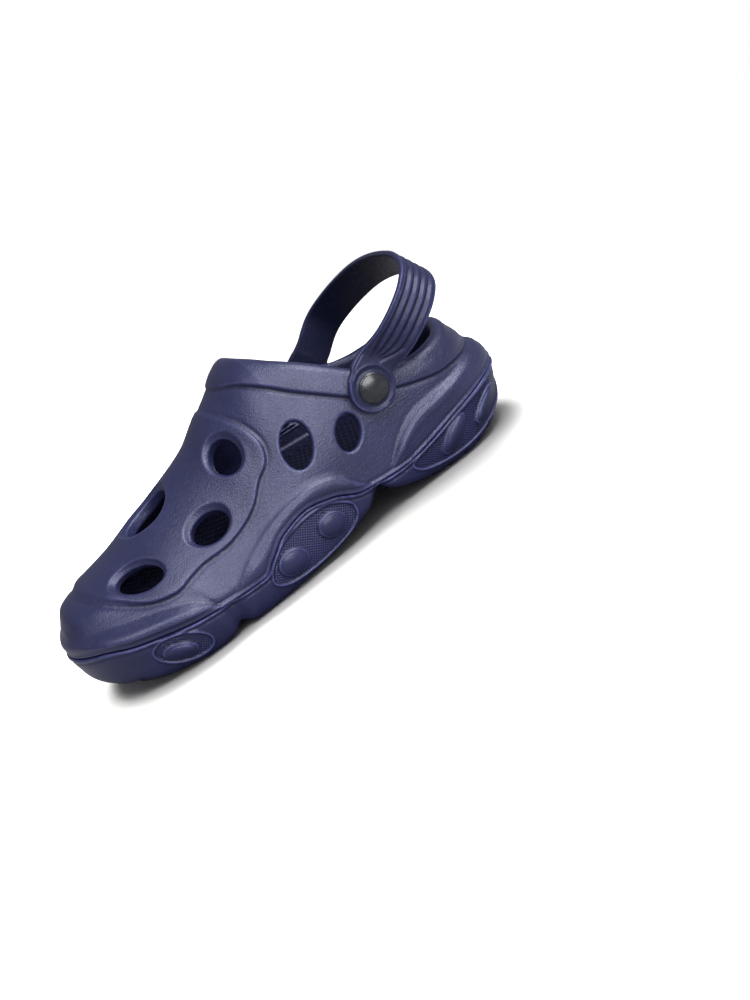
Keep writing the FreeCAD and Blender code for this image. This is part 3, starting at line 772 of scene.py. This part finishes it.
def gradient(field, points, e=0.12):
    out = np.empty_like(points)
    for k in range(3):
        step = np.zeros(3)
        step[k] = e
        out[:, k] = (in_chunks(field, points + step) - in_chunks(field, points - step)) / (2 * e)
    return out


def neighbour_mean(points, faces):
    total = np.zeros_like(points)
    hits = np.zeros(len(points))
    for k in range(4):
        for other in (faces[:, (k + 1) % 4], faces[:, (k - 1) % 4]):
            for axis in range(points.shape[1]):
                total[:, axis] += np.bincount(faces[:, k], points[other, axis], len(points))
            hits += np.bincount(faces[:, k], minlength=len(points))
    return total / hits[:, None]


def settle(field, points, faces, step, rounds=3):
    """Even out the mesh along the surface and pull each vertex onto the zero level."""
    for number in range(rounds):
        slope = gradient(field, points)
        size = np.maximum(np.linalg.norm(slope, axis=1, keepdims=True), 0.2)
        normal = slope / size
        if number < rounds - 1:
            drift = neighbour_mean(points, faces) - points
            drift -= normal * (drift * normal).sum(1, keepdims=True)
            points = points + 0.5 * drift
        shift = in_chunks(field, points)[:, None] / size
        points = points - normal * np.clip(shift, -0.6 * step, 0.6 * step)
    return points, normal


def bulge_of(points, faces, normal, step, rounds=3):
    """Positive on ridges and edges, negative in grooves."""
    value = ((points - neighbour_mean(points, faces)) * normal).sum(1) / step
    for _ in range(rounds):
        value = 0.5 * value + 0.5 * neighbour_mean(value[:, None], faces)[:, 0]
    return value


def mesh_object(name, points, faces, marks=None):
    """Blender object in metres from numpy arrays, smooth shaded, with float attributes."""
    mesh = bpy.data.meshes.new(name)
    mesh.vertices.add(len(points))
    mesh.vertices.foreach_set("co", (points * MM).astype(np.float32).ravel())
    mesh.loops.add(faces.size)
    mesh.loops.foreach_set("vertex_index", faces.astype(np.int32).ravel())
    mesh.polygons.add(len(faces))
    mesh.polygons.foreach_set("loop_start", np.arange(0, faces.size, faces.shape[1], dtype=np.int32))
    mesh.polygons.foreach_set("use_smooth", np.ones(len(faces), bool))
    mesh.update(calc_edges=True)
    for key, values in (marks or {}).items():
        attribute = mesh.attributes.new(key, "FLOAT", "POINT")
        attribute.data.foreach_set("value", values.astype(np.float32))
    mesh.validate()
    obj = bpy.data.objects.new(name, mesh)
    bpy.context.scene.collection.objects.link(obj)
    return obj


def field_piece(name, field, low, high, step, marks=None):
    """Closed mesh of a field's zero level inside a box; marks gives further attributes of its points."""
    low = np.array(low) - 4.0
    shape = np.ceil((np.array(high) + 4.0 - low) / step).astype(int)
    values = sample_blocks(field, low, step, shape)
    points, faces = surface_net(values, low, step)
    points, normal = settle(field, points, faces, step)
    attributes = marks(points) if marks else {}
    attributes["bulge"] = bulge_of(points, faces, normal, step)
    return mesh_object(name, points, faces, attributes)


# ---- lathe-turned rivets

def lathe(name, profile, side, turns=96):
    """Closed solid of revolution about the rivet axis from (radius, distance from the mid plane)."""
    radii, heights = np.array(profile, float).T
    angles = 2 * math.pi * np.arange(turns) / turns
    rows = []
    for radius, height in zip(radii, heights):
        rows.append(np.stack([np.full(turns, side * height), PIVOT[1] + radius * np.cos(angles),
                              PIVOT[2] + side * radius * np.sin(angles)], 1))
    points = np.concatenate(rows)
    faces = []
    for i in range(len(profile) - 1):
        a = i * turns + np.arange(turns)
        b = i * turns + (np.arange(turns) + 1) % turns
        faces.append(np.stack([a, b, b + turns, a + turns], 1))
    obj = mesh_object(name, points, np.concatenate(faces)[:, ::-1])
    weld_poles(obj)
    return obj


def weld_poles(obj):
    work = bmesh.new()
    work.from_mesh(obj.data)
    bmesh.ops.remove_doubles(work, verts=work.verts, dist=1e-6)
    bmesh.ops.recalc_face_normals(work, faces=work.faces)
    work.to_mesh(obj.data)
    work.free()
    for polygon in obj.data.polygons:
        polygon.use_smooth = True


def arc(centre, radius, start, stop, steps):
    """Arc points as (radius from the axis, distance), angles in degrees."""
    angles = np.radians(np.linspace(start, stop, steps))
    return [(centre[0] + radius * math.cos(a), centre[1] + radius * math.sin(a)) for a in angles]


# ---- materials

class Nodes:
    """Short hand for building a material's node tree."""

    def __init__(self, name):
        self.material = bpy.data.materials.new(name)
        self.material.use_nodes = True
        self.tree = self.material.node_tree
        self.tree.nodes.clear()
        self.shader = self.add("ShaderNodeBsdfPrincipled")
        self.output = self.add("ShaderNodeOutputMaterial", {"Surface": self.shader.outputs[0]})
        self.place = self.add("ShaderNodeTexCoord").outputs["Object"]

    def add(self, kind, inputs=None, **settings):
        node = self.tree.nodes.new(kind)
        for key, value in settings.items():
            setattr(node, key, value)
        for key, value in (inputs or {}).items():
            self.give(node.inputs[key], value)
        return node

    def give(self, socket, value):
        """A number, a colour or another node's output for an input."""
        if isinstance(value, bpy.types.NodeSocket):
            self.tree.links.new(value, socket)
        elif socket.type == "RGBA":
            socket.default_value = tuple(value) + (1.0,)
        else:
            socket.default_value = value

    def look(self, name, value):
        self.give(self.shader.inputs[name], value)

    def noise(self, scale, detail=4.0, rough=0.55, where=None):
        inputs = {"Scale": scale, "Detail": detail, "Roughness": rough, "Vector": where or self.place}
        return self.add("ShaderNodeTexNoise", inputs).outputs["Fac"]

    def cells(self, scale):
        return self.add("ShaderNodeTexVoronoi", {"Scale": scale, "Vector": self.place}).outputs["Distance"]

    def stretched(self, scale, turn=(0, 0, 0)):
        inputs = {"Scale": scale, "Rotation": turn, "Vector": self.place}
        return self.add("ShaderNodeMapping", inputs).outputs["Vector"]

    def math(self, kind, a, b=0.0):
        return self.add("ShaderNodeMath", {0: a, 1: b}, operation=kind).outputs[0]

    def ramp(self, value, low, high, to_low=0.0, to_high=1.0):
        inputs = {"Value": value, "From Min": low, "From Max": high, "To Min": to_low, "To Max": to_high}
        return self.add("ShaderNodeMapRange", inputs, clamp=True).outputs["Result"]

    def mix(self, share, a, b):
        inputs = {"Factor": share, "A": a, "B": b}
        return self.add("ShaderNodeMix", inputs, data_type="RGBA").outputs["Result"]

    def mix_shaders(self, share, a, b):
        return self.add("ShaderNodeMixShader", {0: share, 1: a, 2: b}).outputs[0]

    def axis(self, name):
        return self.add("ShaderNodeSeparateXYZ", {0: self.place}).outputs[name]

    def mark(self, name):
        return self.add("ShaderNodeAttribute", attribute_name=name).outputs["Fac"]

    def bump(self, height, strength, distance, under=None):
        inputs = {"Height": height, "Strength": strength, "Distance": distance}
        if under is not None:
            inputs["Normal"] = under
        return self.add("ShaderNodeBump", inputs).outputs["Normal"]


# Fine texture of the sole's side panels, in metres and side-view directions
SQUARE_PITCH = 0.0027
SQUARE_DIRECTIONS = ((0.848, -0.530), (0.530, 0.848))
RIB_PITCH = 0.001
RIB_DIRECTION = (0.634, 0.773)
# Diamonds inside the strap, in millimetres along and across the band
KNURL_PITCH = 2.0

NAVY = (0.016, 0.018, 0.062)
# darker navy: painted shade for grooves, creases and the strap's inner face
NAVY_PAINTED_SHADE = (0.004, 0.005, 0.016)
# paler navy: painted highlight on ridges and raised texture, and random pale mottle
NAVY_PALE = (0.075, 0.082, 0.240)


def foam_base(n, tint, rough, gloss=0.62, highlight_strength=0.5):
    """Navy foam colour and gloss: painted highlight on ridges, painted shade in grooves, slight mottle."""
    shade = n.noise(24.0, 3.0)
    mottle = n.noise(340.0, 5.0, 0.65)
    low, high = (tuple(c * tint * k for c in NAVY) for k in (0.84, 1.14))
    base = n.mix(n.ramp(shade, 0.35, 0.68), low, high)
    bulge = n.mark("bulge")
    # painted highlight: paler on ridges and edges, broken up by mottle
    ridge_highlight = n.math("MULTIPLY", n.ramp(bulge, 0.02, 0.11), n.ramp(mottle, 0.3, 0.6, 0.45, 1.0))
    base = n.mix(n.math("MULTIPLY", ridge_highlight, highlight_strength), base, tuple(c * tint for c in NAVY_PALE))
    # painted shade: darker in grooves and creases
    base = n.mix(n.ramp(bulge, -0.015, -0.11, 0.0, 0.85), base, tuple(c * tint for c in NAVY_PAINTED_SHADE))
    base = n.mix(n.ramp(mottle, 0.5, 0.85, 0.0, 0.08), base, NAVY_PALE)
    n.look("Base Color", base)
    n.look("Roughness", n.ramp(mottle, 0.3, 0.7, rough - 0.05, rough + 0.09))
    n.look("Specular IOR Level", gloss)
    n.look("Specular Tint", (0.78, 0.80, 1.0))
    n.look("Sheen Weight", 0.02)
    n.look("Sheen Roughness", 0.4)
    n.look("Sheen Tint", (0.62, 0.64, 1.0))


def leather_grain(n, strength):
    """Fine moulded pebble with short creases."""
    pebbles = n.cells(1250.0)
    creases = n.noise(800.0, 4.0, 0.6, n.stretched((1.0, 0.45, 1.0), (0.6, 0, 0)))
    height = n.math("ADD", n.math("MULTIPLY", pebbles, 0.6), n.math("MULTIPLY", creases, 0.9))
    return n.bump(height, strength, 0.0003)


def side_view_length(n, along_y, along_z):
    """Length along a direction of the side view."""
    y, z = n.axis("Y"), n.axis("Z")
    return n.math("ADD", n.math("MULTIPLY", y, along_y), n.math("MULTIPLY", z, along_z))


def wave_product(n, first, second, pitch):
    """Product of two sine waves over two length sockets in the pitch's unit."""
    one = n.math("SINE", n.math("MULTIPLY", first, 2 * math.pi / pitch))
    two = n.math("SINE", n.math("MULTIPLY", second, 2 * math.pi / pitch))
    return n.math("MULTIPLY", one, two)


def upper_material():
    n = Nodes("upper_foam_look")
    foam_base(n, 1.0, 0.37, 0.85)
    grain = leather_grain(n, 0.62)
    streaks = n.noise(900.0, 3.0, 0.5, n.stretched((1.0, 0.06, 0.6), (-0.25, 0, 0)))
    rear = n.ramp(n.axis("Y"), 0.03, 0.07)
    n.look("Normal", n.bump(n.math("MULTIPLY", streaks, rear), 0.7, 0.0003, grain))
    return n.material


def sole_material():
    n = Nodes("sole_foam_look")
    # the sole takes a stronger painted highlight on its ridges and rings
    foam_base(n, 0.95, 0.34, 0.6, 0.9)
    grain = leather_grain(n, 0.28)
    rows, columns = (side_view_length(n, *direction) for direction in SQUARE_DIRECTIONS)
    squares = n.math("MULTIPLY", wave_product(n, rows, columns, SQUARE_PITCH), n.mark("squares"))
    squares = n.math("ABSOLUTE", squares)
    lean = n.math("MULTIPLY", side_view_length(n, *RIB_DIRECTION), 2 * math.pi / RIB_PITCH)
    ribs = n.math("MULTIPLY", n.math("SINE", lean), n.mark("ribs"))
    texture = n.math("ADD", squares, ribs)
    # painted highlight: paler navy where the squares and ribs stand highest
    colour = n.shader.inputs["Base Color"].links[0].from_socket
    n.look("Base Color", n.mix(n.ramp(texture, 0.45, 1.0, 0.0, 0.3), colour, NAVY_PALE))
    n.look("Normal", n.bump(texture, 1.0, 0.00025, grain))
    return n.material


def footbed_material():
    n = Nodes("footbed_foam_look")
    # painted shade: the footbed is tinted far darker than the other foam, for the clog's dark inside
    foam_base(n, 0.3, 0.7, 0.18)
    n.look("Normal", leather_grain(n, 0.5))
    return n.material


def strap_material():
    n = Nodes("strap_foam_look")
    foam_base(n, 0.85, 0.36)
    inside = n.mark("knurl")
    n.look("Specular IOR Level", n.ramp(inside, 0.0, 1.0, 0.52, 0.12))
    # painted shade: the strap's inner face is made much darker
    colour = n.shader.inputs["Base Color"].links[0].from_socket
    n.look("Base Color", n.mix(n.math("MULTIPLY", inside, 0.75), colour, NAVY_PAINTED_SHADE))
    grain = leather_grain(n, 0.35)
    run, up = n.mark("run"), n.mark("up")
    diamonds = wave_product(n, n.math("ADD", run, up), n.math("SUBTRACT", run, up), KNURL_PITCH)
    n.look("Normal", n.bump(n.math("MULTIPLY", diamonds, inside), 0.7, 0.00014, grain))
    return n.material


def rivet_material():
    """Dark grey moulded plastic with a soft gloss and faint turning marks."""
    n = Nodes("rivet_plastic_look")
    shade = n.noise(300.0, 3.0)
    base = n.mix(n.ramp(shade, 0.35, 0.65), (0.010, 0.011, 0.014), (0.020, 0.022, 0.027))
    n.look("Base Color", base)
    n.look("Roughness", n.ramp(n.noise(900.0, 3.0), 0.3, 0.7, 0.20, 0.30))
    n.look("Specular IOR Level", 0.65)
    n.look("Normal", n.bump(n.noise(700.0, 2.0), 0.05, 0.0001))
    return n.material


# ---- build the pieces

def finish_piece(obj, body, node, material):
    obj.data.materials.append(material)
    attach(obj, body)
    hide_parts(node)


def build_foam():
    low, high = UPPER_LOW - 4.0, UPPER_HIGH + 4.0
    upper = field_piece("upper_shell", upper_field, low, high, UPPER_STEP)
    finish_piece(upper, "clog_body", "upper", upper_material())
    low, high = OUTSOLE_LOW - 3.0, OUTSOLE_HIGH + 3.0
    sole = field_piece("outsole_rocker", outsole_field, low, high, SOLE_STEP, sole_marks)
    finish_piece(sole, "clog_body", "outsole", sole_material())
    low, high = FOOTBED_LOW - 2.0, FOOTBED_HIGH + 5.0
    bed = field_piece("footbed_nubbed", footbed_field, low, high, BED_STEP)
    finish_piece(bed, "clog_body", "footbed", footbed_material())
    strap = field_piece("heel_strap_ribbed", strap_field, STRAP_LOW, STRAP_HIGH, STRAP_STEP, strap_marks)
    finish_piece(strap, "strap", "heel_strap", strap_material())


HEAD_THICK = 2.8
DOME_RISE = 1.7
HEAD_ROUND = 0.5
UNDER_ROUND = 0.35
SHANK_RADIUS = 3.0
BARB_RADIUS = 3.7
BARB_LENGTH = 1.6


def button_profile():
    """(radius, distance) from the middle of the dome round the head, down the shank and over the barb."""
    top, rim_radius = BUTTON_HIGH[0], (BUTTON_HIGH[1] - BUTTON_LOW[1]) / 2
    under = top - HEAD_THICK
    dome_radius = (rim_radius ** 2 + DOME_RISE ** 2) / (2 * DOME_RISE)
    reach = math.degrees(math.asin((rim_radius - HEAD_ROUND) / dome_radius))
    profile = arc((0, top - dome_radius), dome_radius, 90, 90 - reach, 14)
    profile += arc((rim_radius - HEAD_ROUND, under + 0.6), HEAD_ROUND, 40, 0, 5)
    profile += arc((rim_radius - UNDER_ROUND, under + UNDER_ROUND), UNDER_ROUND, 0, -90, 5)
    tip, seat = BUTTON_LOW[0], BUTTON_LOW[0] + BARB_LENGTH
    profile += [(SHANK_RADIUS + 0.3, under), (SHANK_RADIUS, under - 0.3), (SHANK_RADIUS, seat + 0.05)]
    profile += arc((BARB_RADIUS - 0.2, seat - 0.2), 0.2, 90, 0, 4)
    blunt = BARB_RADIUS * 0.7
    return profile + [(blunt, tip + 0.1), (blunt - 0.2, tip), (0.0, tip)]


def cap_profile():
    """Closed ring section of the snap cap; the last point repeats the first."""
    outer, inner = CAP_HIGH[0], CAP_LOW[0]
    radius, bore = (CAP_HIGH[1] - CAP_LOW[1]) / 2, BORE_RADIUS
    profile = [(bore, outer), (radius - 0.3, outer)]
    profile += arc((radius - 0.3, outer - 0.3), 0.3, 90, 0, 4)
    profile += arc((radius - 0.4, outer - 0.9), 0.4, 0, -60, 5)
    profile += [(radius * 0.72, inner + 0.12), (radius * 0.66, inner), (radius * 0.5, inner)]
    profile += [(radius * 0.47, inner + 0.3), (bore + 0.3, inner + 0.3), (bore, inner + 0.5), (bore, outer)]
    return profile


def build_rivets():
    plastic = rivet_material()
    for name, side in (("medial", 1), ("lateral", -1)):
        button = lathe("rivet_button_" + name + "_turned", button_profile(), side)
        finish_piece(button, "rivet_" + name, "rivet_button_" + name, plastic)
        cap = lathe("rivet_cap_" + name + "_turned", cap_profile(), side)
        finish_piece(cap, "rivet_" + name, "rivet_cap_" + name, plastic)


# ---- floor, light and camera

FLOOR_REACH = 6.0
FLOOR_DROP = -0.00015
# distances from the clog between which the floor fades into the background
FLOOR_FADE = (0.28, 0.75)


def build_floor():
    """Pale floor that turns into the white background at a distance."""
    corners = [(-1, -1), (1, -1), (1, 1), (-1, 1)]
    points = np.array([(x * FLOOR_REACH, y * FLOOR_REACH, FLOOR_DROP) for x, y in corners]) / MM
    floor = mesh_object("floor", points, np.array([[0, 1, 2, 3]]))
    n = Nodes("floor_look")
    n.look("Base Color", (0.95, 0.94, 0.91))
    n.look("Roughness", 0.9)
    n.look("Specular IOR Level", 0.1)
    span = n.add("ShaderNodeVectorMath", {0: n.place}, operation="LENGTH").outputs["Value"]
    glow = n.add("ShaderNodeEmission").outputs[0]
    far = n.mix_shaders(n.ramp(span, *FLOOR_FADE), n.shader.outputs[0], glow)
    # a grey bounce, so that the white floor does not light up the sole
    dull = n.add("ShaderNodeBsdfDiffuse", {"Color": (0.20, 0.20, 0.21)}).outputs[0]
    seen = n.add("ShaderNodeLightPath").outputs["Is Camera Ray"]
    n.give(n.output.inputs["Surface"], n.mix_shaders(seen, dull, far))
    floor.data.materials.append(n.material)
    return floor


LIGHT_TARGET = (0.0, -0.02, 0.05)
# Softboxes: (name, place in metres, sides, watts)
CLOG_LIGHTS = [
    ("key_above", (0.680, -0.270, 0.960), (0.7, 0.7), 6.5),
    ("key_behind", (0.460, 0.620, 0.960), (0.7, 0.7), 13.0),
    ("low_fill", (1.150, 0.250, 0.380), (0.7, 0.4), 7.0),
]
FLOOR_LIGHTS = [
    ("floor_light", (-0.45, -0.05, 1.05), (1.0, 1.0), 30.0),
    ("floor_fill", (0.1, 0.0, 1.6), (1.8, 1.8), 30.0),
]
WORLD_STRENGTH = 0.23


def area_light(name, place, size, power, receivers):
    """Rectangular softbox that lights only the objects given, which still take every shadow."""
    light = bpy.data.lights.new(name, "AREA")
    light.shape = "RECTANGLE"
    light.size, light.size_y = size
    light.energy = power
    obj = bpy.data.objects.new(name, light)
    obj.location = place
    obj.rotation_euler = (Vector(LIGHT_TARGET) - Vector(place)).to_track_quat("-Z", "Y").to_euler()
    bpy.context.scene.collection.objects.link(obj)
    lit = bpy.data.collections.new(name + "_receives")
    for receiver in receivers:
        lit.objects.link(receiver)
    obj.light_linking.receiver_collection = lit


def build_light(floor):
    """Dim sky behind the softboxes, white where the camera sees it."""
    world = bpy.data.worlds.new("studio")
    world.use_nodes = True
    tree = world.node_tree
    tree.nodes.clear()
    dim, white, choose, path, output = (tree.nodes.new("ShaderNode" + kind) for kind in (
        "Background", "Background", "MixShader", "LightPath", "OutputWorld"))
    white.inputs["Color"].default_value = (1.0, 1.0, 1.0, 1.0)
    dim.inputs["Color"].default_value = (0.92, 0.93, 1.0, 1.0)
    dim.inputs["Strength"].default_value = WORLD_STRENGTH
    seen = path.outputs["Is Camera Ray"]
    for source, socket in zip((seen, dim.outputs[0], white.outputs[0]), choose.inputs):
        tree.links.new(source, socket)
    tree.links.new(choose.outputs[0], output.inputs["Surface"])
    bpy.context.scene.world = world
    clog = [obj for obj in bpy.context.scene.objects if obj.type == "MESH" and obj is not floor]
    for name, place, size, power in CLOG_LIGHTS:
        area_light(name, place, size, power, clog)
    for name, place, size, power in FLOOR_LIGHTS:
        area_light(name, place, size, power, [floor])
    bpy.context.scene.view_settings.view_transform = "Standard"


CAMERA_AZIMUTH = 74.054
CAMERA_ELEVATION = 19.779
CAMERA_ROLL = -31.367
CAMERA_PLACE = (0.59578, -0.12686, 0.21885)
CAMERA_LENS = 40.035


def build_camera():
    """Looks along azimuth 74 and down 20 degrees, rolled so that the toe points down to the left."""
    azimuth, elevation, roll = map(math.radians, (CAMERA_AZIMUTH, CAMERA_ELEVATION, CAMERA_ROLL))
    forward = Vector((-math.sin(azimuth) * math.cos(elevation), math.cos(azimuth) * math.cos(elevation),
                      -math.sin(elevation)))
    right = forward.cross(Vector((0, 0, 1))).normalized()
    up = right.cross(forward)
    turned_right = right * math.cos(roll) + up * math.sin(roll)
    turned_up = up * math.cos(roll) - right * math.sin(roll)
    camera = bpy.data.cameras.new("camera")
    camera.lens = CAMERA_LENS
    camera.sensor_width = 36.0
    obj = bpy.data.objects.new("camera", camera)
    matrix = Matrix((turned_right, turned_up, -forward)).transposed().to_4x4()
    matrix.translation = Vector(CAMERA_PLACE)
    obj.matrix_world = matrix
    bpy.context.scene.collection.objects.link(obj)
    bpy.context.scene.camera = obj


build_foam()
build_rivets()
build_light(build_floor())
build_camera()
